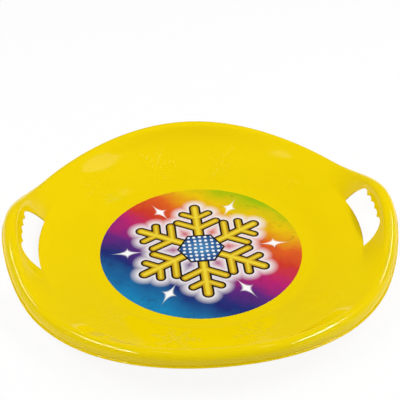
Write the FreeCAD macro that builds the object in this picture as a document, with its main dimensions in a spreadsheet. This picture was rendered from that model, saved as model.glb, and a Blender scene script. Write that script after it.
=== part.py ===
import FreeCAD, Part
import math
import os
import Sketcher

# Saucer sled: a thin-walled moulded dish with a rolled, wavy rim and two grip slots,
# and a round printed sticker on its flat floor. Millimetres, +Z up.
# The origin is the middle of the underside, where the sled rests.
# +X runs across the two raised grip ears and -Y is the front.

# Driving sizes: name, value, what it measures.
SIZES = (
    ("overall_width", 600.0, "across the two ears, bead to bead"),
    ("ear_reach", 5.6, "how much further out the ears stand than the front and back"),
    ("wall", 2.5, "thickness of the moulding everywhere"),
    ("rim_width", 44.4, "from the crease circle out to the front edge, in plan"),
    ("slope_width", 75.0, "run of the sloping side inside the crease, in plan"),
    ("slope_rise", 30.7, "rise of the sloping side from floor to crease"),
    ("floor_blend_radius", 52.0, "bend between floor and sloping side, upper skin"),
    ("ear_valley", 5.0, "how far the soft valley reaches from the crease, down and up, near the ears"),
    ("front_valley_run", 42.0, "how far it reaches down the sloping side, at front and back"),
    ("front_valley_rise", 25.0, "how far it reaches up the flank there"),
    ("ear_height", 83.9, "rim crest above the ground at the ears"),
    ("front_height", 64.0, "rim crest above the ground at front and back"),
    ("dip_height", 45.3, "rim crest above the ground at the four dips"),
    ("dip_angle", 33.8, "degrees from an ear to the dips beside it"),
    ("roll_radius", 12.0, "outer radius of the rolled rim"),
    ("skirt_height", 4.0, "straight skirt between the roll and the bead"),
    ("skirt_draft", 4.0, "degrees that the skirt leans outwards"),
    ("bead_width", 2.0, "how far the edge bead stands out from the skirt"),
    ("bead_height", 2.2, "height of the edge bead"),
    ("grip_width", 31.6, "from an ear's edge in to the cusps of its grip slot, in plan"),
    ("slot_set_in", 0.5, "how far a grip slot reaches in past the crease, in plan"),
    ("finger_pitch", 18.6, "distance between the cusps of a grip slot"),
    ("finger_depth", 2.0, "depth of a finger hollow behind its cusps"),
    ("sticker_margin", 6.0, "bare floor round the sticker"),
    ("sticker_thickness", 0.3, "printed film"),
    ("cut_overrun", 5.0, "how far a cutter runs past what it cuts"),
)
FINGERS = 5  # finger hollows along a grip slot
FRONT = -math.pi / 2  # direction of the front, where the skins' seams lie
STATIONS = 48  # cross-sections that the rim's curves pass through
BEND_STRIP_COUNT = 3  # narrow strips that the bend beside the floor is laid in
VALLEY_STRIP_COUNT = 5  # the same for the soft valley along the crease
ROLL_STRIP_COUNT = 10  # and for the outside of the roll
ROLL_UNDER_STRIP_COUNT = 6  # and for its inside

doc = FreeCAD.newDocument("saucer_sled")
sheet = doc.addObject("Spreadsheet::Sheet", "sizes")
for row, (alias, value, note) in enumerate(SIZES, start=1):
    sheet.set(f"A{row}", alias)
    sheet.set(f"B{row}", str(value))
    sheet.set(f"C{row}", note)
    sheet.setAlias(f"B{row}", alias)
doc.recompute()
size = {alias: float(sheet.get(alias)) for alias, value, note in SIZES}

# Sizes that follow from the driving ones, as expressions for the document's objects.
CREASE_RADIUS = "(sizes.overall_width / 2 - sizes.ear_reach - sizes.rim_width)"
CUSP_RADIUS = "(sizes.overall_width / 2 - sizes.grip_width)"
SLOPE_ANGLE = "atan(sizes.slope_rise / sizes.slope_width)"
BLEND_RUN = f"(sizes.floor_blend_radius * tan({SLOPE_ANGLE} / 2))"
FLOOR_RADIUS = f"({CREASE_RADIUS} - sizes.slope_width - {BLEND_RUN})"
STICKER_RADIUS = f"({FLOOR_RADIUS} - sizes.sticker_margin)"
FINGER_RADIUS = "((sizes.finger_pitch ^ 2 / 4 + sizes.finger_depth ^ 2) / (2 * sizes.finger_depth))"


def outline_radius(angle):
    """Plan radius of the edge bead: an ellipse, a little longer across the ears."""
    across = size["overall_width"] / 2
    along = across - size["ear_reach"]
    return across * along / math.hypot(along * math.cos(angle), across * math.sin(angle))


def past_dip(angle):
    """Share of the way from a dip to the front or back: below 0 on its ear's side."""
    from_ear = math.acos(abs(math.cos(angle)))
    dip = math.radians(size["dip_angle"])
    return (from_ear - dip) / (dip if from_ear < dip else math.pi / 2 - dip)


def crest_height(angle):
    """Height of the rim's crest: two smooth half waves between ear, dip and front."""
    share = past_dip(angle)
    peak = size["ear_height"] if share < 0 else size["front_height"]
    return size["dip_height"] + (peak - size["dip_height"]) * (1 - math.cos(math.pi * share)) / 2


def direction(angle):
    """Unit vector at an angle from outwards to up, in the plane of a cross-section."""
    return FreeCAD.Vector(math.cos(angle), 0, math.sin(angle))


def bend(centre, radius, start, end, flats):
    """Points along a round bend from one angle to another."""
    turn = (end - start) / flats
    return [centre + direction(start + turn * step) * radius for step in range(flats + 1)]


# The round middle of the dish, in section: flat floor, bend, sloping side, and the crease
# where the sloping side and the flank above it would meet.
wall = size["wall"]
crease = FreeCAD.Vector(sheet.evalExpression(CREASE_RADIUS), 0, wall + size["slope_rise"])
slope = math.atan2(size["slope_rise"], size["slope_width"])
bend_radius = size["floor_blend_radius"]
bend_centre = FreeCAD.Vector(sheet.evalExpression(FLOOR_RADIUS), 0, wall + bend_radius)
floor_angle = -math.pi / 2
bend_top = bend(bend_centre, bend_radius, floor_angle, floor_angle + slope, BEND_STRIP_COUNT)
bend_under = bend(bend_centre, bend_radius + wall, floor_angle + slope, floor_angle, BEND_STRIP_COUNT)


def valley(angle, flank):
    """Points of the soft valley between slope and flank, a parabola, on its two skins."""
    softness = max(0, past_dip(angle))
    near = size["ear_valley"]
    run = direction(slope) * (near + softness * (size["front_valley_run"] - near))
    rise = direction(flank) * (near + softness * (size["front_valley_rise"] - near))
    top, under = [], []
    for step in range(VALLEY_STRIP_COUNT + 1):
        share = step / VALLEY_STRIP_COUNT
        way = run * (1 - share) + rise * share
        normal = FreeCAD.Vector(-way.z, 0, way.x).normalize()
        top.append(crease - run * (1 - share) ** 2 + rise * share**2)
        under.append(top[-1] - normal * wall)
    return top, under


def section(angle):
    """Wall at one angle: from the floor over the roll to the bead, and back underneath."""
    roll = size["roll_radius"]
    draft = math.radians(size["skirt_draft"])
    down = direction(draft - math.pi / 2)
    skirt = down * size["skirt_height"]
    roll_reach = outline_radius(angle) - size["bead_width"] - skirt.x - roll * math.cos(draft)
    roll_centre = FreeCAD.Vector(roll_reach, 0, crest_height(angle) - roll)
    span = roll_centre - crease
    flank = math.atan2(span.z, span.x) + math.asin(roll / span.Length)
    flank_normal = flank + math.pi / 2
    roll_top = bend(roll_centre, roll, flank_normal, draft, ROLL_STRIP_COUNT)
    roll_under = bend(roll_centre, roll - wall, draft, flank_normal, ROLL_UNDER_STRIP_COUNT)
    bead_root = roll_top[-1] + skirt
    bead_upper = bead_root + FreeCAD.Vector(size["bead_width"], 0, 0)
    bead_lower = bead_upper - FreeCAD.Vector(0, 0, size["bead_height"])
    skirt_foot = roll_under[0] + down * ((roll_under[0].z - bead_lower.z) / math.cos(draft))
    edge = [bead_root, bead_upper, bead_lower, skirt_foot]
    valley_top, valley_under = valley(angle, flank)
    return [*bend_top, *valley_top, *roll_top, *edge, *roll_under, *valley_under[::-1], *bend_under]


def closed_rail(points):
    """Smooth closed curve through one point of every cross-section, even in angle."""
    curve = Part.BSplineCurve()
    turns = [2 * math.pi * step / STATIONS for step in range(STATIONS + 1)]
    curve.interpolate(Points=points, PeriodicFlag=True, Parameters=turns)
    return curve


def strip(inner, outer):
    """Skin ruled straight across from one closed rail to the next."""
    surface = Part.BSplineSurface()
    surface.buildFromPolesMultsKnots(
        poles=[inner.getPoles(), outer.getPoles()],
        umults=[2, 2],
        vmults=inner.getMultiplicities(),
        uknots=[0, 1],
        vknots=inner.getKnots(),
        uperiodic=False,
        vperiodic=True,
        udegree=1,
        vdegree=inner.Degree,
    )
    return surface.toShape()


def disc(rail):
    """Flat round face inside a level closed rail."""
    return Part.Face(Part.Wire([rail.toShape()]))


def moulding():
    """The dish without its slots: strips from rail to rail and two floor discs, sewn."""
    angles = [FRONT + 2 * math.pi * step / STATIONS for step in range(STATIONS)]
    turns = [FreeCAD.Rotation(FreeCAD.Vector(0, 0, 1), math.degrees(angle)) for angle in angles]
    sections = [section(angle) for angle in angles]
    rails = [
        closed_rail([turn.multVec(point) for turn, point in zip(turns, points)])
        for points in zip(*sections)
    ]
    faces = [strip(inner, outer) for inner, outer in zip(rails, rails[1:])]
    faces += [disc(rails[0]), disc(rails[-1])]
    skin = Part.makeCompound(faces)
    skin.sewShape()
    return Part.Solid(skin.Shells[0])


def drive(sketch, terms, name, expression):
    """Adds a named sketch dimension and ties it to the sheet."""
    index = sketch.addConstraint(Sketcher.Constraint(*terms, sheet.evalExpression(expression)))
    sketch.renameConstraint(index, name)
    sketch.setExpression(f"Constraints.{name}", expression)


def slot_outline():
    """Plan of the right grip slot: finger hollows, the outer two bent round to its ends."""
    sketch = doc.addObject("Sketcher::SketchObject", "slot_outline")
    reach = f"({(FINGERS - 1) / 2} * sizes.finger_pitch + {FINGER_RADIUS})"
    inside = f"sqrt({CREASE_RADIUS} ^ 2 - {reach} ^ 2) - sizes.cut_overrun"
    cusp_sides = [f"({index - FINGERS / 2} * sizes.finger_pitch)" for index in range(1, FINGERS)]
    cusps = [(f"sqrt({CUSP_RADIUS} ^ 2 - {side} ^ 2)", side) for side in cusp_sides]
    end_start = f"{cusps[0][0]} - {FINGER_RADIUS} + sizes.finger_depth"
    corners = [
        (end_start, f"-{reach}"),
        *cusps,
        (end_start, reach),
        (inside, reach),
        (inside, f"-{reach}"),
    ]
    places = [FreeCAD.Vector(*map(sheet.evalExpression, corner)) for corner in corners]
    bulge = FreeCAD.Vector(size["finger_depth"], 0, 0)
    for index, (start, end) in enumerate(zip(places, places[1:] + places[:1])):
        if index < FINGERS:
            sketch.addGeometry(Part.Arc(start, (start + end) / 2 + bulge, end))
        else:
            sketch.addGeometry(Part.LineSegment(start, end))
    for edge, corner in enumerate(corners):
        before = (edge - 1) % len(corners)
        sketch.addConstraint(Sketcher.Constraint("Coincident", before, 2, edge, 1))
        for axis, expression in zip("XY", corner):
            drive(sketch, (f"Distance{axis}", -1, 1, edge, 1), f"corner_{edge}_{axis}", expression)
    for edge in range(FINGERS):
        drive(sketch, ("Radius", edge), f"finger_{edge}", FINGER_RADIUS)
    return sketch


def slot_cutter():
    """Upright block of the slot's outline, less a core that keeps its inner side round."""
    block = doc.addObject("Part::Extrusion", "slot_block")
    block.Base = slot_outline()
    block.DirMode = "Custom"
    block.Dir = FreeCAD.Vector(0, 0, 1)
    block.Solid = True
    block.setExpression("LengthFwd", "sizes.ear_height")
    core = doc.addObject("Part::Cylinder", "crease_core")
    core.setExpression("Radius", f"{CREASE_RADIUS} - sizes.slot_set_in")
    core.setExpression("Height", "sizes.ear_height + 2 * sizes.cut_overrun")
    core.setExpression("Placement.Base.z", "-sizes.cut_overrun")
    cutter = doc.addObject("Part::Cut", "slot_right")
    cutter.Base = block
    cutter.Tool = core
    return cutter


def dish():
    """The moulding with both grip slots cut straight up through its ears."""
    moulded = doc.addObject("Part::Feature", "moulding")
    moulded.Shape = moulding()
    moulded.Placement = FreeCAD.Placement()
    right = slot_cutter()
    left = doc.addObject("Part::Mirroring", "slot_left")
    left.Source = right
    left.Normal = FreeCAD.Vector(1, 0, 0)
    one_slot = doc.addObject("Part::Cut", "one_slot")
    one_slot.Base = moulded
    one_slot.Tool = right
    both_slots = doc.addObject("Part::Cut", "both_slots")
    both_slots.Base = one_slot
    both_slots.Tool = left
    both_slots.Label = "dish"
    return both_slots


def sticker():
    """Round printed film lying flat on the floor of the dish."""
    body = doc.addObject("PartDesign::Body", "film")
    ground = next(plane for plane in body.Origin.OriginFeatures if plane.Role == "XY_Plane")
    sketch = body.newObject("Sketcher::SketchObject", "film_outline")
    sketch.AttachmentSupport = [(ground, "")]
    sketch.MapMode = "FlatFace"
    edge = Part.Circle(FreeCAD.Vector(), FreeCAD.Vector(0, 0, 1), sheet.evalExpression(STICKER_RADIUS))
    sketch.addGeometry(edge)
    sketch.addConstraint(Sketcher.Constraint("Coincident", 0, 3, -1, 1))
    drive(sketch, ("Radius", 0), "film_radius", STICKER_RADIUS)
    pad = body.newObject("PartDesign::Pad", "film_thickness")
    pad.Profile = sketch
    pad.setExpression("Length", "sizes.sticker_thickness")
    body.setExpression("Placement.Base.z", "sizes.wall")
    body.Label = "sticker"
    return body


nodes = [dish(), sticker()]
doc.recompute()
for item in doc.Objects:
    if "Invalid" in item.State or "Error" in item.State:
        raise RuntimeError(f"{item.Label} did not build: {item.State}")
for node in nodes:
    if node.Shape.isNull() or not node.Shape.isValid():
        raise RuntimeError(f"{node.Label} has no sound shape")

os.makedirs("parts", exist_ok=True)
for node in nodes:
    node.Shape.exportStep(f"parts/{node.Label}.step")
    print(node.Label, len(node.Shape.Solids), "solid", round(node.Shape.Volume / 1000, 1), "cm3")
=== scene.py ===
# %% [markdown]
# # A moulded snow saucer
# A snow saucer is one thin dish of polyethylene, shot into a polished steel mould, with a round
# printed film stuck on its floor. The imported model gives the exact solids. This lesson dresses
# them: a smooth skin with soft edges for the dish, snow crystals raised on its sloping side,
# a printed finish for the film, and a small photo studio around it.

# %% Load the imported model
import math

import bmesh
import bpy
import numpy as np
from mathutils import Matrix, Vector


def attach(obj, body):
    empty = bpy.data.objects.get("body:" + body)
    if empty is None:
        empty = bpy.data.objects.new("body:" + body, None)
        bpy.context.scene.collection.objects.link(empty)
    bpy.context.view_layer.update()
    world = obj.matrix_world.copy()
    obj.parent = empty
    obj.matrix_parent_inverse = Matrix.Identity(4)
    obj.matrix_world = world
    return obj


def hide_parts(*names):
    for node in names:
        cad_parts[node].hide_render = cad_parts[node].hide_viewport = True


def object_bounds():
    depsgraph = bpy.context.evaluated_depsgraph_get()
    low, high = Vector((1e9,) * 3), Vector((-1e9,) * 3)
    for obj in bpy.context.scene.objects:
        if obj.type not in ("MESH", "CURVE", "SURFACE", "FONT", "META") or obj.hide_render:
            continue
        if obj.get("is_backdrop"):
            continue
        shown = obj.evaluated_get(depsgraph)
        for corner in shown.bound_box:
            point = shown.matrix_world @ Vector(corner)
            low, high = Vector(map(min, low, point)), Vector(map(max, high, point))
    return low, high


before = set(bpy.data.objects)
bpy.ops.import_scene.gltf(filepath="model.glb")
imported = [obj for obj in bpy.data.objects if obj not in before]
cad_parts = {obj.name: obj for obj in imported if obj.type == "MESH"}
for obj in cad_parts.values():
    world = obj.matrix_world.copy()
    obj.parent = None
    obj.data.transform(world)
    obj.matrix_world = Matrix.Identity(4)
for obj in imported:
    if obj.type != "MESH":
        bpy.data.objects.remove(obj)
cad_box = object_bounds()
print("nodes:", sorted(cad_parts))

# %% [markdown]
# ## Small helpers
# Shapes are worked out in millimetres, as the mould maker draws them, and turned to metres when
# they go into a mesh. Colours are written as sRGB hex values, as a printer names them, and
# shaders want linear light, so one function turns them over. One more function adds a shader
# node with its settings and links: short calls keep a long node tree readable.

# %% Helpers for colours, nodes and meshes
MM = 0.001


def linear(hex_colour):
    """sRGB hex to linear RGBA: each channel below 0.04045 is divided by 12.92, and the rest
    is ((c + 0.055) / 1.055) to the power 2.4."""
    srgb = np.array([int(hex_colour[i:i + 2], 16) for i in (1, 3, 5)]) / 255
    curve = np.where(srgb <= 0.04045, srgb / 12.92, ((srgb + 0.055) / 1.055) ** 2.4)
    return (*curve.tolist(), 1.0)


def add(tree, kind, inputs=None, **settings):
    """Adds a shader node with its settings. An input is a value, a socket, or a node, whose
    first output in use is linked."""
    node = tree.nodes.new("ShaderNode" + kind)
    for name, value in settings.items():
        setattr(node, name, value)
    for key, value in (inputs or {}).items():
        if isinstance(value, bpy.types.Node):
            value = next(socket for socket in value.outputs if socket.enabled)
        if isinstance(value, bpy.types.NodeSocket):
            tree.links.new(value, node.inputs[key])
        else:
            node.inputs[key].default_value = value
    return node


def new_tree(owner):
    """The emptied node tree of a new material or world."""
    owner.use_nodes = True
    owner.node_tree.nodes.clear()
    return owner.node_tree


def grid_faces(rows, columns):
    """Quads of a grid that closes on itself along its columns, as an array of vertex numbers."""
    row, column = np.meshgrid(np.arange(rows - 1), np.arange(columns), indexing="ij")
    after = (column + 1) % columns
    return np.stack([row * columns + column, row * columns + after,
                     (row + 1) * columns + after, (row + 1) * columns + column], -1)


def put_mesh(name, points, faces, merge, smooth):
    """A mesh object at the origin from points in mm. Points within the merging distance, also
    in mm, become one, and faces are turned outwards."""
    mesh = bpy.data.meshes.new(name)
    mesh.from_pydata((points * MM).tolist(), [], faces.tolist())
    shape = bmesh.new()
    shape.from_mesh(mesh)
    bmesh.ops.remove_doubles(shape, verts=shape.verts, dist=merge * MM)
    bmesh.ops.recalc_face_normals(shape, faces=shape.faces)
    open_edges = sum(not edge.is_manifold for edge in shape.edges)
    shape.to_mesh(mesh)
    shape.free()
    if smooth:
        mesh.shade_smooth()
    piece = bpy.data.objects.new(name, mesh)
    bpy.context.scene.collection.objects.link(piece)
    triangles = sum(len(polygon.vertices) - 2 for polygon in mesh.polygons)
    print(name, triangles, "triangles,", open_edges, "open edges")
    return piece


# %% [markdown]
# ## The dish in section
# A mould maker draws the dish as one cross-section that changes a little on its way round: flat
# floor, bend, sloping side, a valley at the crease, a steeper flank, and a rolled rim that ends
# in a skirt with a small bead. The height of the rim's crest and the reach of the edge change
# with the angle, and so does the valley: behind it is wide and soft, and in front it is crisp
# and lies a little further up. The whole skin is a function of two parameters: the angle round
# the dish and the place along the section. A subdivided cage would need guesswork at the wavy
# rim. The formula gives every point, and the inner skin is the same curve moved in by the wall.

# %% Sizes of the dish, in mm
WALL = 2.5
EAR_RADIUS = 300.0
FRONT_RADIUS = 294.4
CREASE_RADIUS = 250.0
SLOPE_WIDTH = 75.0
SLOPE_RISE = 30.7
FLOOR_BEND_RADIUS = 52.0
EAR_CREST = 83.9
FRONT_CREST = 64.0
DIP_CREST = 45.3
DIP_ANGLE = math.radians(33.8)
ROLL_RADIUS = 12.0
SKIRT_HEIGHT = 4.0
SKIRT_DRAFT = math.radians(4.0)
BEAD_WIDTH = 2.0
BEAD_HEIGHT = 2.2
BEAD_ROUND = 0.6
VALLEY_IN_FRONT = (4.0, 4.0)  # how far the soft valley reaches from the crease, down and up
VALLEY_BEHIND = (42.0, 25.0)
CREASE_SHIFT = 12.0  # how much further up its slope the crease lies in front

SLOPE = math.atan2(SLOPE_RISE, SLOPE_WIDTH)
FLOOR_RADIUS = CREASE_RADIUS - SLOPE_WIDTH - FLOOR_BEND_RADIUS * math.tan(SLOPE / 2)
CREASE = np.array([CREASE_RADIUS, WALL + SLOPE_RISE])
ROWS = {"floor": 5, "bend": 8, "slope": 6, "valley": 12, "flank": 8, "roll": 18, "skirt": 2}
FIRST_ROW = dict(zip(ROWS, np.cumsum([0, *ROWS.values()]).tolist()))
print(f"flat floor {2 * FLOOR_RADIUS:.1f} mm across, side slopes {math.degrees(SLOPE):.1f} degrees")

# %% The upper skin as a function of angle and row


def outline_radius(angle):
    """Ellipse in polar form: the product of its half axes over the length of (b cos, a sin)."""
    return EAR_RADIUS * FRONT_RADIUS / np.hypot(
        FRONT_RADIUS * np.cos(angle), EAR_RADIUS * np.sin(angle))


def past_dip(angle):
    """Share of the way from an ear to the dip beside it, and from the dip on to the front."""
    from_ear = np.arccos(np.abs(np.cos(angle)))
    to_front = (from_ear - DIP_ANGLE) / (math.pi / 2 - DIP_ANGLE)
    return np.clip(from_ear / DIP_ANGLE, 0, 1), np.clip(to_front, 0, 1)


def crest_height(angle):
    """Half a cosine wave from the ear down to the dip, and half a lower one up to the front."""
    to_dip, to_front = past_dip(angle)
    ear = (EAR_CREST - DIP_CREST) * (1 + np.cos(math.pi * to_dip)) / 2
    return DIP_CREST + ear + (FRONT_CREST - DIP_CREST) * (1 - np.cos(math.pi * to_front)) / 2


def tilted(tilt):
    """Unit vectors (out, up) at these tilts above level."""
    return np.stack([np.cos(tilt), np.sin(tilt)], -1)


def skin(angle):
    """Section rows at each angle, as arrays (row, angle, out and up), and the normals there.
    A line is start + share * (end - start). An arc is centre + radius * normal, where the normal
    stands a quarter turn over the tilt, and the radius of a hollow bend is negative. The valley
    is a parabola, whose ends lie on slope and flank and whose sides meet in the crease. Its reach
    grows evenly from the dips to the back. In front the crease moves up its slope instead, by a
    quarter of a sine wave from the dips to the front."""
    centre = np.stack([
        outline_radius(angle) - BEAD_WIDTH - SKIRT_HEIGHT * math.sin(SKIRT_DRAFT)
        - ROLL_RADIUS * math.cos(SKIRT_DRAFT),
        crest_height(angle) - ROLL_RADIUS], -1)
    level = np.zeros_like(angle)
    side = level + SLOPE
    down = level + SKIRT_DRAFT - math.pi / 2
    softness = np.where(np.sin(angle) > 0, past_dip(angle)[1], 0)[..., None]
    reach = np.array(VALLEY_IN_FRONT) + softness * np.subtract(VALLEY_BEHIND, VALLEY_IN_FRONT)
    in_front = np.where(np.sin(angle) < 0, np.sin(math.pi / 2 * past_dip(angle)[1]), 0)
    crease = CREASE + CREASE_SHIFT * in_front[..., None] * tilted(side)
    span = centre - crease
    flank = (np.arctan2(span[..., 1], span[..., 0])
             + np.arcsin(ROLL_RADIUS / np.linalg.norm(span, axis=-1)))
    pole = np.array([0, WALL]) + 0 * centre
    floor_end = np.array([FLOOR_RADIUS, WALL]) + 0 * centre
    bend_centre = floor_end + [0, FLOOR_BEND_RADIUS]
    bend_end = bend_centre - FLOOR_BEND_RADIUS * tilted(side + math.pi / 2)
    valley_start = crease - reach[..., :1] * tilted(side)
    valley_end = crease + reach[..., 1:] * tilted(flank)
    roll_start = centre + ROLL_RADIUS * tilted(flank + math.pi / 2)
    roll_end = centre + ROLL_RADIUS * tilted(down + math.pi / 2)
    skirt_end = roll_end + (SKIRT_HEIGHT - BEAD_ROUND) * tilted(down)
    points, tilts = [pole[None]], [level[None]]

    def shares(piece):
        return np.linspace(0, 1, ROWS[piece] + 1)[1:].reshape(-1, *[1] * angle.ndim)

    def line(piece, start, end, tilt):
        share = shares(piece)
        points.append(start + share[..., None] * (end - start))
        tilts.append(tilt + 0 * share)

    def arc(piece, middle, radius, first, last):
        tilts.append(first + shares(piece) * (last - first))
        points.append(middle + radius * tilted(tilts[-1] + math.pi / 2))

    def parabola(piece, start, corner, end):
        share = shares(piece)[..., None]
        points.append((1 - share) ** 2 * start + 2 * share * (1 - share) * corner
                      + share ** 2 * end)
        way = (1 - share) * (corner - start) + share * (end - corner)
        tilts.append(np.arctan2(way[..., 1], way[..., 0]))

    line("floor", pole, floor_end, level)
    arc("bend", bend_centre, -FLOOR_BEND_RADIUS, level, side)
    line("slope", bend_end, valley_start, side)
    parabola("valley", valley_start, crease, valley_end)
    line("flank", valley_end, roll_start, flank)
    arc("roll", centre, ROLL_RADIUS, flank, down)
    line("skirt", roll_end, skirt_end, down)
    return np.concatenate(points), tilted(np.concatenate(tilts) + math.pi / 2)


def spun(section, angle):
    """Section points (out, up) stood up at their angles, as x, y, z."""
    out, up = section[..., 0], section[..., 1]
    return np.stack([out * np.cos(angle), out * np.sin(angle), up + 0 * angle], -1)


probe = skin(np.array([0, -DIP_ANGLE, -math.pi / 2]))[0]
print("crest at ear, dip and front:", probe[..., 1].max(0).round(1))

# %% Points of the skin between its rows


def row_at(radius, angle):
    """Row, with its fraction, where the skin reaches this radius: every row lies further out
    than the one before, so the rows that lie inside the radius are counted."""
    reach = skin(angle)[0][..., 0]
    lower = (reach < radius).sum(0) - 1
    inner, outer = (np.take_along_axis(reach, lower[None] + step, 0)[0] for step in (0, 1))
    return lower + (radius - inner) / (outer - inner)


def skin_between(row, angle):
    """Point and normal of the upper skin at a row with its fraction, in x, y, z."""
    lower = np.floor(row).astype(int)
    rise = (row - lower)[..., None]
    picked = []
    for values in skin(angle):
        start, end = (np.take_along_axis(values, lower[None, ..., None] + step, 0)[0]
                      for step in (0, 1))
        picked.append(spun(start + rise * (end - start), angle))
    return picked[0], picked[1] / np.linalg.norm(picked[1], axis=-1, keepdims=True)


print("slope meets the valley at row", FIRST_ROW["valley"])

# %% [markdown]
# ## The edge bead
# The skirt ends in a bead that stiffens the edge and takes the sharpness off it. In section it
# is a small step with rounded corners, the same all the way round, so it is drawn once as
# offsets from the skirt's end. Each corner is a parabola between two points on its sides.

# %% The bead's section
BEAD_STEPS = 5  # points on each rounded corner

skirt_way = tilted(np.array(SKIRT_DRAFT - math.pi / 2))
inner_start = -WALL * tilted(np.array(SKIRT_DRAFT))
foot = inner_start + skirt_way * (BEAD_HEIGHT + inner_start[1]) / math.cos(SKIRT_DRAFT)
bead_corners = np.array([[0, 0], [BEAD_WIDTH, 0], [BEAD_WIDTH, -BEAD_HEIGHT], foot])
before = np.vstack([-skirt_way, bead_corners[:-1]]) - bead_corners
after = np.vstack([bead_corners[1:], inner_start]) - bead_corners
before *= BEAD_ROUND / np.linalg.norm(before, axis=1, keepdims=True)
after *= BEAD_ROUND / np.linalg.norm(after, axis=1, keepdims=True)
bead_share = np.linspace(0, 1, BEAD_STEPS)[None, :, None]
bead = (bead_corners[:, None] + (1 - bead_share) ** 2 * before[:, None]
        + bead_share ** 2 * after[:, None]).reshape(-1, 2)[1:]
print("bead drawn with", len(bead), "rows")

# %% [markdown]
# ## The dish as one closed grid
# The skin runs from the middle of the floor over the rim to the bead and back underneath, as one
# grid that closes on itself. Round each grip slot a window is left open in both skins, so the
# slot can have its own patch. The columns stand closer together there, because the finger
# hollows are less than 20 mm wide.

# %% Columns, rows and the two windows
WINDOW = math.radians(16)
WINDOW_COLUMNS = 128
REST_COLUMNS = 148
ROWS_BELOW_SLOT = 1  # rows of the slope that a window takes in
ROWS_ABOVE_SLOT = 3  # rows of the roll that it takes in

window = np.linspace(-WINDOW, WINDOW, WINDOW_COLUMNS, endpoint=False)
rest = np.linspace(WINDOW, math.pi - WINDOW, REST_COLUMNS, endpoint=False)
angles = np.concatenate([window, rest, window + math.pi, rest + math.pi])
top, normal = skin(angles)
under = (top - WALL * normal)[::-1]
edge = (top[-1] + BEAD_ROUND * skirt_way)[None] + bead[:, None]
grid_points = spun(np.concatenate([top, edge, under]), angles)
grid_rows, grid_columns = grid_points.shape[:2]

window_first = FIRST_ROW["valley"] - ROWS_BELOW_SLOT
window_last = FIRST_ROW["roll"] + ROWS_ABOVE_SLOT
face_row = np.arange(grid_rows - 1)
in_top = (face_row >= window_first) & (face_row < window_last)
in_window = np.arange(grid_columns) % (WINDOW_COLUMNS + REST_COLUMNS) < WINDOW_COLUMNS
kept = ~((in_top | in_top[::-1])[:, None] & in_window)
dish_points = [grid_points.reshape(-1, 3)]
dish_faces = [grid_faces(grid_rows, grid_columns)[kept]]
print("dish grid", grid_rows, "rows by", grid_columns, "columns,",
      int((~kept).sum()), "faces left open")

# %% [markdown]
# ## The grip slots
# The hand goes through a slot in each ear. Its outer side has five finger hollows, its inner
# side follows the crease, and all its edges are rounded off for the hand. A boolean cut would
# leave hard, ragged edges, so the patch is drawn instead: a ring of lines that starts on the
# window in the grid, closes in on the slot's outline, rolls over a soft lip, passes the wall
# and runs back out on the underside. Plan points are complex numbers, x + iy, because turning
# and scaling are then plain products.

# %% Outline of a slot, in plan
CUSP_RADIUS = 268.4
SLOT_INNER_RADIUS = 249.5
FINGER_PITCH = 18.6
FINGER_DEPTH = 2.0
END_SHARE = math.radians(55)  # where the outline's side ends and its end begins, on the end arc

finger_radius = (FINGER_PITCH ** 2 / 4 + FINGER_DEPTH ** 2) / (2 * FINGER_DEPTH)
cusp_y = np.array([-1.5, -0.5, 0.5, 1.5]) * FINGER_PITCH
cusps = np.sqrt(CUSP_RADIUS ** 2 - cusp_y ** 2) + 1j * cusp_y
end_centre = cusps[3].real - finger_radius + FINGER_DEPTH + 2j * FINGER_PITCH
half_length = end_centre.imag + finger_radius


def plan_arc(centre, radius, first, last, count=200):
    """Points of an arc: centre + radius * e to the power i * angle."""
    return centre + radius * np.exp(1j * np.linspace(first, last, count, endpoint=False))


def plan_line(start, end, count=60):
    """Points of a straight side, from its start to just before its end."""
    return start + np.linspace(0, 1, count, endpoint=False) * (end - start)


def finger_hollow(start, end):
    """The arc through two cusps that bulges outwards: its centre lies inside their chord."""
    chord = end - start
    inwards = 1j * chord / abs(chord)
    centre = (start + end) / 2 + inwards * math.sqrt(finger_radius ** 2 - abs(chord) ** 2 / 4)
    return plan_arc(centre, finger_radius, np.angle(start - centre), np.angle(end - centre))


end_turn = np.angle(cusps[3] - end_centre)
inner_turn = math.asin(half_length / SLOT_INNER_RADIUS)
corner = SLOT_INNER_RADIUS * np.exp(1j * inner_turn)
end_side = end_centre + 1j * finger_radius
outline_pieces = [
    plan_arc(end_centre.conjugate(), finger_radius, -END_SHARE, -end_turn),
    *[finger_hollow(start, end) for start, end in zip(cusps, cusps[1:])],
    plan_arc(end_centre, finger_radius, end_turn, END_SHARE),
    plan_arc(end_centre, finger_radius, END_SHARE, math.pi / 2),
    plan_line(end_side, corner),
    plan_arc(0, SLOT_INNER_RADIUS, inner_turn, -inner_turn, 400),
    plan_line(corner.conjugate(), end_side.conjugate()),
    plan_arc(end_centre.conjugate(), finger_radius, -math.pi / 2, -END_SHARE),
]
outline = np.concatenate(outline_pieces)
outline = np.append(outline, outline[0])
lengths = np.concatenate([[0], np.cumsum(np.abs(np.diff(outline)))])
knots = lengths[np.cumsum([0] + [len(piece) for piece in outline_pieces])]
perimeter = lengths[-1]
print(f"slot {2 * half_length:.0f} mm long, outline {perimeter:.0f} mm round")

# %% Soften the outline's corners
# A Gaussian blur along the outline rounds its corners, the two on the inner side most. On a
# closed line it is a product with exp(-(wave number * width)^2 / 2) after a Fourier transform.
CUSP_ROUND = 0.6
CORNER_ROUND = 2.4
CORNER_REACH = 2.2 * CORNER_ROUND  # how far the wider blur reaches from an inner corner
INNER_CORNERS = (7, 8)  # knots at both ends of the inner side
FINE = 4096

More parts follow.
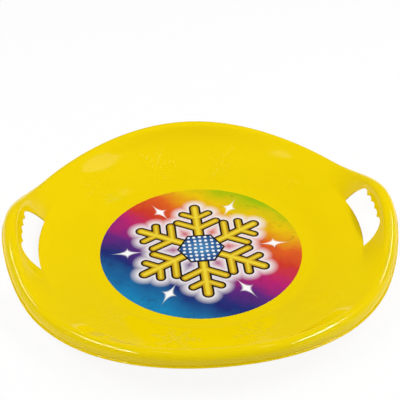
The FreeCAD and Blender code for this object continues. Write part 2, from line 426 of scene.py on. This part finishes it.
even = np.linspace(0, perimeter, FINE, endpoint=False)
waves = 2 * np.pi * np.fft.fftfreq(FINE, perimeter / FINE)
spectrum = np.fft.fft(np.interp(even, lengths, outline))
crisp, soft = (np.fft.ifft(spectrum * np.exp(-(waves * width) ** 2 / 2))
               for width in (CUSP_ROUND, CORNER_ROUND))
near_corner = sum(np.exp(-((even - knots[knot]) / CORNER_REACH) ** 4) for knot in INNER_CORNERS)
softened = crisp + near_corner * (soft - crisp)
moved = abs(np.interp(knots[INNER_CORNERS[0]], even, softened) - corner)
print(f"inner corners moved by {moved:.2f} mm")

# %% Stations on the window and on the outline that belong together
# The outline's knots: the first and last hollow run from 0 to 1 and 4 to 5, the three between
# from 1 to 4, an end from 5 to 7, the inner side from 7 to 8, and the other end from 8 to 10.
END_COLUMNS = 31
FINGER_COLUMNS = (WINDOW_COLUMNS - 2 * END_COLUMNS) // 3

window_rows = window_last - window_first
side_rows = np.arange(window_rows)
ring_row = np.concatenate([
    np.full(WINDOW_COLUMNS, window_last), window_last - side_rows,
    np.full(WINDOW_COLUMNS, window_first), window_first + side_rows]).astype(float)
ring_angle = np.concatenate([
    window, np.full(window_rows, WINDOW), -window, np.full(window_rows, -WINDOW)])


def stations(first, last, count):
    """Even places along the slot's outline between two of its knots."""
    return np.linspace(knots[first], knots[last], count, endpoint=False)


along_outline = np.concatenate([
    stations(0, 1, END_COLUMNS),
    *[stations(knot, knot + 1, FINGER_COLUMNS) for knot in (1, 2, 3)],
    stations(4, 5, END_COLUMNS), stations(5, 7, window_rows),
    stations(7, 8, WINDOW_COLUMNS), stations(8, 10, window_rows)])
slot_plan = np.interp(along_outline, even, softened, period=perimeter)
slot_angle = np.angle(slot_plan)
slot_row = row_at(np.abs(slot_plan), slot_angle)
print(len(slot_row), "stations round a slot")

# %% Ring patch from the window to the slot and through its lip
LIP_ROUND = 0.8
LIP_STEPS = 5
LIP_TURNS = np.linspace(0, math.pi / 2, LIP_STEPS)[:, None, None]
RING_SHARES = (0, 0.3, 0.55, 0.75, 0.88)
NEAR_SLOT = 0.97  # share of a line so close to the slot that it shows the way back from it


def ring_line(share):
    """The line that lies this share of the way from the window to the slot."""
    return skin_between(ring_row + share * (slot_row - ring_row),
                        ring_angle + share * (slot_angle - ring_angle))


lip, lip_normal = ring_line(1.0)
back = ring_line(NEAR_SLOT)[0] - lip
back -= (back * lip_normal).sum(1, keepdims=True) * lip_normal
back /= np.linalg.norm(back, axis=1, keepdims=True)
setback = LIP_ROUND * (1 - np.sin(LIP_TURNS)) * back
sink = LIP_ROUND * (1 - np.cos(LIP_TURNS)) * lip_normal
ring_top = [ring_line(share) for share in RING_SHARES]
patch = np.concatenate([
    np.stack([point for point, upright in ring_top]),
    lip + setback - sink,
    (lip + setback - WALL * lip_normal + sink)[::-1],
    np.stack([point - WALL * upright for point, upright in ring_top])[::-1]])
patch_faces = grid_faces(*patch.shape[:2]).reshape(-1, 4)
for half_turn in (1, -1):
    dish_faces.append(patch_faces + sum(len(points) for points in dish_points))
    dish_points.append(patch.reshape(-1, 3) * [half_turn, half_turn, 1])
dish = put_mesh("dish_moulding", np.concatenate(dish_points), np.concatenate(dish_faces),
                merge=0.002, smooth=True)

# %% [markdown]
# ## Snow crystals on the sloping side
# The mould has eight snow crystals cut into the sloping side, four in front and four behind,
# so the dish shows them as thin raised lines. A graver with a V edge cuts such lines, so each is
# a slim ridge like a flat roof. A bump texture would vanish from the exported shape, so the roof
# is drawn: four corners, carried along a short straight path, taper at both ends and lie partly
# sunk in the skin. All ridges are one array: crystal, ridge, place along the ridge, and corner.

# %% Ridges of the crystals
CRYSTAL_RADIUS = 38.0
CRYSTAL_PLACE = 218.5
CRYSTAL_ANGLES = np.radians([45, 75, 105, 135, 225, 255, 285, 315])
RIDGE_CORNERS = 3.0 - 0.2j, 0.21j, -3.0 - 0.2j, -0.45j  # across and up from the skin, in mm
BRANCH_STARTS = np.array([0.34, 0.56, 0.78])
BRANCH_LENGTHS = np.array([0.26, 0.30, 0.20])
HUB_SHARE = 0.2
RIDGE_STATIONS = 7
TAPER_POWER = 6  # the higher, the blunter a ridge's ends

sixth = np.exp(1j * math.pi / 3)
starts = np.concatenate([[0], BRANCH_STARTS, BRANCH_STARTS, [HUB_SHARE]])
ways = np.concatenate([
    [1], BRANCH_LENGTHS * sixth, BRANCH_LENGTHS / sixth, [HUB_SHARE * (sixth - 1)]])
arms = 1j * sixth ** np.arange(6)[:, None]
ridge_start = (arms * starts).reshape(-1, 1, 1) * CRYSTAL_RADIUS
ridge_way = (arms * ways).reshape(-1, 1, 1) * CRYSTAL_RADIUS
along = np.sin(np.linspace(-math.pi / 2, math.pi / 2, RIDGE_STATIONS))[:, None]
roof = np.sqrt(1 - along ** TAPER_POWER) * np.array(RIDGE_CORNERS)
flat = ridge_start + ridge_way * (along + 1) / 2 + roof.real * 1j * ridge_way / np.abs(ridge_way)
ridge_radius = CRYSTAL_PLACE + flat.real.reshape(1, -1) * math.cos(SLOPE)
ridge_angle = CRYSTAL_ANGLES[:, None] + flat.imag.reshape(1, -1) / CRYSTAL_PLACE
skin_point, skin_normal = skin_between(row_at(ridge_radius, ridge_angle), ridge_angle)
lift = np.broadcast_to(roof.imag, flat.shape).reshape(1, -1, 1)
ridges = (skin_point + lift * skin_normal).reshape(-1, roof.size, 3)
ridge_faces = (grid_faces(*roof.shape).reshape(1, -1, 4)
               + ridges.shape[1] * np.arange(len(ridges))[:, None, None]).reshape(-1, 4)
crystals = put_mesh("dish_snow_crystals", ridges.reshape(-1, 3), ridge_faces,
                    merge=0.0005, smooth=False)
print(len(ridges), "ridges in", len(CRYSTAL_ANGLES), "crystals")

# %% [markdown]
# ## The plastic
# The dish is injection-moulded polyethylene, coloured through. Polished steel gives it a smooth
# gloss with a hint of orange peel, and the plastic flows in with slight swirls, a shade lighter
# or darker. Polyethylene has an IOR of about 1.51. Its pigment is so strong that the mirror
# image of the room hardly pales it, so the specular level is set low and only lamps show.

# %% Moulded polyethylene
FLOW_MM = 70
PEEL_MM = 4
PEEL_DEPTH_MM = 0.02
PEEL_STRENGTH = 0.08
NOISE_SPAN = 0.3, 0.7  # where most values of a noise texture lie
PLASTIC_ROUGHNESS = 0.05, 0.08
POLYETHYLENE_IOR = 1.51
plastic = bpy.data.materials.new("polyethylene_injection_moulded")
tree = new_tree(plastic)
place = add(tree, "TexCoord").outputs["Object"]
flow = add(tree, "TexNoise", {"Vector": place, "Scale": 1 / (FLOW_MM * MM), "Detail": 2.0})
colour = add(tree, "Mix", {0: flow, 6: linear("#F0D200"), 7: linear("#F4D600")}, data_type="RGBA")
peel = add(tree, "TexNoise", {"Vector": place, "Scale": 1 / (PEEL_MM * MM), "Detail": 1.0})
gloss = add(tree, "MapRange", {
    0: flow, 1: NOISE_SPAN[0], 2: NOISE_SPAN[1], 3: PLASTIC_ROUGHNESS[0], 4: PLASTIC_ROUGHNESS[1]})
bump = add(tree, "Bump", {
    "Strength": PEEL_STRENGTH, "Distance": PEEL_DEPTH_MM * MM, "Height": peel})
shader = add(tree, "BsdfPrincipled", {
    "Base Color": colour, "Roughness": gloss, "IOR": POLYETHYLENE_IOR, "Specular IOR Level": 0.2,
    "Normal": bump})
add(tree, "OutputMaterial", {"Surface": shader})
for piece in (dish, crystals):
    piece.data.materials.append(plastic)
    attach(piece, "root")
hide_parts("dish")
print("dish dressed in", plastic.name)

# %% [markdown]
# ## The printed film
# The sticker is a vinyl film, printed and varnished: an airbrushed rainbow fade with a large snow
# crystal on it, yellow with a black outline and a white glow. A print is colour without shape,
# so the film keeps its solid and the picture is worked out in the shader. The angle is folded
# into a twelfth of a turn, and in that wedge the crystal is a few round-ended bars. The distance
# to the nearest bar then gives fill, outline and glow, sharp at any size.

# %% Fold the film's plan into one wedge
# A full turn keeps the bearing positive. One wedge more puts an arm at the back.
FILM_RADIUS = 158.8
WEDGE = math.pi / 6
film = bpy.data.materials.new("vinyl_film_printed")
tree = new_tree(film)
place = add(tree, "TexCoord").outputs["Object"]
plan = add(tree, "VectorMath", {0: place, 1: (1 / MM, 1 / MM, 0)}, operation="MULTIPLY")
axes = add(tree, "SeparateXYZ", {0: plan})
radius = add(tree, "VectorMath", {0: plan}, operation="LENGTH")
bearing = add(tree, "Math", {0: axes.outputs["Y"], 1: axes.outputs["X"]}, operation="ARCTAN2")
shifted = add(tree, "Math", {0: bearing, 1: 2 * math.pi + WEDGE}, operation="ADD")
folded = add(tree, "Math", {0: shifted, 1: WEDGE}, operation="PINGPONG")
cosine = add(tree, "Math", {0: folded}, operation="COSINE")
sine = add(tree, "Math", {0: folded}, operation="SINE")
out = add(tree, "Math", {0: cosine, 1: radius}, operation="MULTIPLY")
across = add(tree, "Math", {0: sine, 1: radius}, operation="MULTIPLY")
wedge = add(tree, "CombineXYZ", {"X": out, "Y": across})
print(f"film folded into wedges of {math.degrees(WEDGE):.0f} degrees")

# %% Distance to the crystal's bars
BARS = (  # start out, start across, end out, end across, half width, all in mm
    (0, 0, 106, 0, 6.5),
    (50, 0, 68, 31, 5.5),
    (78, 0, 90, 21, 5.0),
)
distance = None
for start_out, start_across, end_out, end_across, half_width in BARS:
    # To the nearest point of the bar's centre line, less half its width.
    start = Vector((start_out, start_across, 0))
    way = Vector((end_out, end_across, 0)) - start
    from_start = add(tree, "VectorMath", {0: wedge, 1: start}, operation="SUBTRACT")
    share = add(tree, "VectorMath", {0: from_start, 1: way / way.length_squared},
                operation="DOT_PRODUCT")
    held = add(tree, "Clamp", {0: share})
    nearest = add(tree, "VectorMath", {0: way, "Scale": held}, operation="SCALE")
    away = add(tree, "VectorMath", {0: from_start, 1: nearest}, operation="DISTANCE")
    to_bar = add(tree, "Math", {0: away, 1: half_width}, operation="SUBTRACT")
    if distance is None:
        distance = to_bar
    else:
        distance = add(tree, "Math", {0: distance, 1: to_bar}, operation="MINIMUM")
print(len(BARS), "bars in a wedge make the crystal")

# %% Sparkles between the arms
# A four-pointed star is where the roots of both offsets, over their reach, add up to less than 1.
SPARKLE_PLACE = 116
SPARKLE_REACH = (21, 10)  # outwards and to the side
between = Vector((math.cos(WEDGE), math.sin(WEDGE), 0))
beside = Vector((-between.y, between.x, 0))
roots = []
for way, shift, reach in zip((between, beside), (SPARKLE_PLACE, 0), SPARKLE_REACH):
    offset = add(tree, "VectorMath", {0: wedge, 1: way / reach}, operation="DOT_PRODUCT")
    centred = add(tree, "Math", {0: offset, 1: shift / reach}, operation="SUBTRACT")
    length = add(tree, "Math", {0: centred}, operation="ABSOLUTE")
    roots.append(add(tree, "Math", {0: length}, operation="SQRT"))
sparkle = add(tree, "Math", {0: roots[0], 1: roots[1]}, operation="ADD")
print("sparkles", SPARKLE_PLACE, "mm from the middle")

# %% Rainbow fade
FADE_WAY = Vector((-0.62, -0.78, 0))
FADE = (  # place along the fade, ink
    (0.02, "#9FC000"), (0.14, "#EBC400"), (0.28, "#E2661C"), (0.40, "#CF3626"),
    (0.53, "#BC1F70"), (0.65, "#63257F"), (0.79, "#1B2A75"), (0.98, "#1586BC"),
)
CLOUD_MM = 55
CLOUD_SHIFT = 0.1  # how far the clouds push the fade to and fro, as a share of the film
STREAK_MM = 18
cloud = add(tree, "TexNoise", {"Vector": plan, "Scale": 1 / CLOUD_MM, "Detail": 3.0})
along_fade = add(tree, "VectorMath", {0: plan, 1: FADE_WAY / (2 * FILM_RADIUS)},
                 operation="DOT_PRODUCT")
ruffle = add(tree, "MapRange", {
    0: cloud, 1: 0.0, 2: 1.0, 3: 0.5 - CLOUD_SHIFT, 4: 0.5 + CLOUD_SHIFT})
fade_place = add(tree, "Math", {0: along_fade, 1: ruffle}, operation="ADD")
fade = add(tree, "ValToRGB", {0: fade_place})
for stop, (position, ink) in enumerate(FADE):
    mark = fade.color_ramp.elements[stop] if stop < 2 else fade.color_ramp.elements.new(position)
    mark.position = position
    mark.color = linear(ink)
streak = add(tree, "TexNoise", {
    "Vector": plan, "Scale": 1 / STREAK_MM, "Detail": 5.0, "Distortion": 1.5})
print("fade through", len(FADE), "inks")

# %% Inks that have a shade of their own
TUBE_DEPTH = 6.0  # how far inside its edge the yellow is lightest, in mm
HUB = 30
HUB_DOT_MM = 9
DOT_SIZE = 0.30  # radius of a dot as a share of their spacing
DOT_BLUR = 0.03
tube = add(tree, "MapRange", {0: distance, 1: 0.0, 2: -TUBE_DEPTH, 3: 0.0, 4: 1.0},
           interpolation_type="SMOOTHSTEP")
yellow = add(tree, "Mix", {0: tube, 6: linear("#B98C00"), 7: linear("#F4DA38")}, data_type="RGBA")
hub_shade = add(tree, "MapRange", {0: radius, 1: 0.0, 2: HUB, 3: 0.0, 4: 1.0})
hub_blue = add(tree, "Mix", {0: hub_shade, 6: linear("#4C8CC0"), 7: linear("#24518C")},
               data_type="RGBA")
dots = add(tree, "TexVoronoi", {"Vector": plan, "Scale": 1 / HUB_DOT_MM, "Randomness": 0.15})
dot = add(tree, "MapRange", {
    0: dots, 1: DOT_SIZE + DOT_BLUR, 2: DOT_SIZE - DOT_BLUR, 3: 0.0, 4: 1.0})
hub_ink = add(tree, "Mix", {0: dot, 6: hub_blue, 7: linear("#EEF3F8")}, data_type="RGBA")
print("hub", 2 * HUB, "mm across with dots", HUB_DOT_MM, "mm apart")

# %% Lay the inks over each other and varnish the film
OUTLINE = 3.0
EDGE = 0.25
VARNISH_ROUGHNESS = 0.34, 0.42
VARNISH_IOR = 1.46
LAYERS = (  # ink, what is measured, no ink at, full ink at, strength
    (linear("#16151D"), streak, 0.60, 0.76, 0.45),
    (linear("#F6F1F3"), distance, 17.0, 3.0, 0.95),
    (linear("#FFFFFF"), sparkle, 1.25, 0.9, 1.0),
    (linear("#0F0E10"), distance, OUTLINE + EDGE, OUTLINE - EDGE, 1.0),
    (yellow, distance, EDGE, -EDGE, 1.0),
    (linear("#0F0E10"), out, HUB + OUTLINE + EDGE, HUB + OUTLINE - EDGE, 1.0),
    (hub_ink, out, HUB + EDGE, HUB - EDGE, 1.0),
)
picture = fade
for ink, measure, bare, full, strength in LAYERS:
    share = add(tree, "MapRange", {0: measure, 1: bare, 2: full, 3: 0.0, 4: strength})
    picture = add(tree, "Mix", {0: share, 6: picture, 7: ink}, data_type="RGBA")
satin = add(tree, "MapRange", {
    0: cloud, 1: NOISE_SPAN[0], 2: NOISE_SPAN[1], 3: VARNISH_ROUGHNESS[0], 4: VARNISH_ROUGHNESS[1]})
shader = add(tree, "BsdfPrincipled", {
    "Base Color": picture, "Roughness": satin, "IOR": VARNISH_IOR, "Specular IOR Level": 0.3})
add(tree, "OutputMaterial", {"Surface": shader})
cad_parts["sticker"].material_slots[0].material = film
print("film printed with", len(tree.nodes), "nodes")

# %% [markdown]
# ## Floor and room
# A plain white sweep carries the saucer and throws light back under its rim. A product table
# glows through a little, so its shadow stays light: the floor is part paper and part glow for
# whatever looks at it. Round the table stand pale walls, brightest at the sides, under a soft dim
# ceiling. The walls light the ears and the upright edges. The glossy floor of the dish mirrors the
# far end of the room towards the camera, so walls and ceiling are darkest there and the yellow
# stays full. Only a low white band at the horizon goes all the way round, where the sweep runs out.

# %% Floor
FLOOR_SIZE = 40.0
FLOOR_GAP_MM = 0.1  # the floor lies this far below the dish, so that no two faces coincide
GLOW_SHARE = 0.91
corners = np.array([[-1, -1], [1, -1], [1, 1], [-1, 1]]) * FLOOR_SIZE / 2
floor_mesh = bpy.data.meshes.new("floor")
floor_mesh.from_pydata(
    [(x, y, -FLOOR_GAP_MM * MM) for x, y in corners.tolist()], [], [(0, 1, 2, 3)])
floor = bpy.data.objects.new("floor", floor_mesh)
bpy.context.scene.collection.objects.link(floor)
paper = bpy.data.materials.new("paper_matt_white")
tree = new_tree(paper)
ray = add(tree, "LightPath")
seen = add(tree, "Math", {0: ray.outputs["Is Camera Ray"], 1: ray.outputs["Is Glossy Ray"]},
           operation="ADD")
seen = add(tree, "Math", {0: seen, 1: ray.outputs["Is Transmission Ray"]},
           operation="ADD", use_clamp=True)
glow_share = add(tree, "Math", {0: seen, 1: GLOW_SHARE}, operation="MULTIPLY")
matt = add(tree, "BsdfDiffuse", {"Color": linear("#FBFBFB")})
glow = add(tree, "Emission", {"Color": linear("#FFFFFF"), "Strength": 1.0})
sweep = add(tree, "MixShader", {0: glow_share, 1: matt, 2: glow})
add(tree, "OutputMaterial", {"Surface": sweep})
floor_mesh.materials.append(paper)
floor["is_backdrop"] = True
print("floor", FLOOR_SIZE, "m square")

# %% Walls and ceiling
# Each pair says where one light fades into the next, measured on a direction of length 1: along
# Y from front to back, along X to either side, and along Z upwards.
FRONT_TO_BACK_WALL = -0.4, 0.4
END_TO_SIDE_WALL = 0.55, 0.85
FRONT_TO_BACK_CEILING = 0.15, 0.55
WALL_TO_CEILING = 0.05, 0.50
SWEEP_TO_WALL = 0.04, 0.08
FRONT_WALL_LIGHT = 0.8
BACK_WALL_LIGHT = 0.1
SIDE_WALL_LIGHT = 1.6
FRONT_CEILING_LIGHT = 0.16
BACK_CEILING_LIGHT = 0.10
world = bpy.data.worlds.new("studio")
tree = new_tree(world)
direction = add(tree, "SeparateXYZ", {0: add(tree, "TexCoord").outputs["Generated"]})
ends = add(tree, "MapRange", {
    0: direction.outputs["Y"], 1: FRONT_TO_BACK_WALL[0], 2: FRONT_TO_BACK_WALL[1],
    3: FRONT_WALL_LIGHT, 4: BACK_WALL_LIGHT})
aside = add(tree, "Math", {0: direction.outputs["X"]}, operation="ABSOLUTE")
walls = add(tree, "MapRange", {
    0: aside, 1: END_TO_SIDE_WALL[0], 2: END_TO_SIDE_WALL[1], 3: ends, 4: SIDE_WALL_LIGHT})
ceiling = add(tree, "MapRange", {
    0: direction.outputs["Y"], 1: FRONT_TO_BACK_CEILING[0], 2: FRONT_TO_BACK_CEILING[1],
    3: FRONT_CEILING_LIGHT, 4: BACK_CEILING_LIGHT})
room = add(tree, "MapRange", {
    0: direction.outputs["Z"], 1: WALL_TO_CEILING[0], 2: WALL_TO_CEILING[1],
    3: walls, 4: ceiling}, interpolation_type="SMOOTHSTEP")
sweep_edge = add(tree, "MapRange", {
    0: direction.outputs["Z"], 1: SWEEP_TO_WALL[0], 2: SWEEP_TO_WALL[1], 3: 1.0, 4: room})
light = add(tree, "Background", {"Color": linear("#FFFFFF"), "Strength": sweep_edge})
add(tree, "OutputWorld", {"Surface": light})
bpy.context.scene.world = world
bpy.context.scene.view_settings.view_transform = "Standard"
print("walls", FRONT_WALL_LIGHT, "in front,", SIDE_WALL_LIGHT, "at the sides,",
      BACK_WALL_LIGHT, "behind")

# %% [markdown]
# ## Lamps
# Two long, narrow, bright soft boxes, left and right, draw the thin highlights on the rolled rim.
# Two dim strips overhead, laid from front to back, show as faint patches on the flank behind. A
# lamp's power follows from the brightness that its front should have: power is brightness times
# pi times area.

# %% Soft boxes
LAMP_DISTANCE = 2.2
LAMPS = (  # direction from the dish, direction of the long side, length and width in m, brightness
    ((0.63, 0.05, 0.77), (0, 1, 0), 1.90, 0.13, 43.5),
    ((-0.56, 0.03, 0.82), (0, 1, 0), 1.60, 0.13, 43.5),
    ((0.34, 0.20, 0.90), (-0.22, 0.94, -0.27), 0.98, 0.23, 1.7),
    ((-0.23, 0.28, 0.90), (-0.15, -0.93, 0.33), 0.62, 0.25, 1.7),
)
for number, (towards, long_side, length, width, brightness) in enumerate(LAMPS):
    lamp = bpy.data.lights.new(f"softbox_{number}", "AREA")
    lamp.shape = "ELLIPSE"
    lamp.size = length
    lamp.size_y = width
    lamp.energy = brightness * math.pi * (math.pi / 4 * length * width)
    holder = bpy.data.objects.new(lamp.name, lamp)
    back = Vector(towards).normalized()
    side = Vector(long_side).cross(back).normalized()
    turn = Matrix((-side.cross(back), -side, back)).transposed().to_4x4()
    holder.matrix_world = Matrix.Translation(back * LAMP_DISTANCE) @ turn
    bpy.context.scene.collection.objects.link(holder)
print(len(LAMPS), "soft boxes")

# %% [markdown]
# ## Camera
# The camera looks down at the dish from the front, about 40 degrees above the floor and a little
# to the left of the middle, so that the right ear turns away. It stands about 1.3 m away.

# %% Camera
CAMERA_DISTANCE = 1.337
CAMERA_YAW = math.radians(5.73)
CAMERA_ELEVATION = math.radians(39.57)
CAMERA_ROLL = math.radians(-0.46)
IMAGE_PIXELS = 400
FOCAL_PIXELS = 846.9
SENSOR_WIDTH = 36.0
LENS_SHIFT = -0.0025, 0.1203  # to the side and up, as shares of the picture's width
TARGET = Vector((0, 0, 2.8 * MM))
away = Vector((-math.sin(CAMERA_YAW) * math.cos(CAMERA_ELEVATION),
               -math.cos(CAMERA_YAW) * math.cos(CAMERA_ELEVATION), math.sin(CAMERA_ELEVATION)))
lens = bpy.data.cameras.new("camera")
lens.sensor_width = SENSOR_WIDTH
lens.lens = SENSOR_WIDTH * FOCAL_PIXELS / IMAGE_PIXELS
lens.shift_x, lens.shift_y = LENS_SHIFT
camera = bpy.data.objects.new("camera", lens)
aim = away.to_track_quat("Z", "Y").to_matrix().to_4x4()
stand = Matrix.Translation(TARGET + away * CAMERA_DISTANCE)
camera.matrix_world = stand @ aim @ Matrix.Rotation(CAMERA_ROLL, 4, "Z")
bpy.context.scene.collection.objects.link(camera)
bpy.context.scene.camera = camera
print(f"lens {lens.lens:.1f} mm")

# %% Sizes of the model and of the dressed scene
boxes = {"cad": cad_box, "visual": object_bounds()}
for name, box in boxes.items():
    print(name, "box:", [tuple(round(c, 4) for c in point) for point in box])
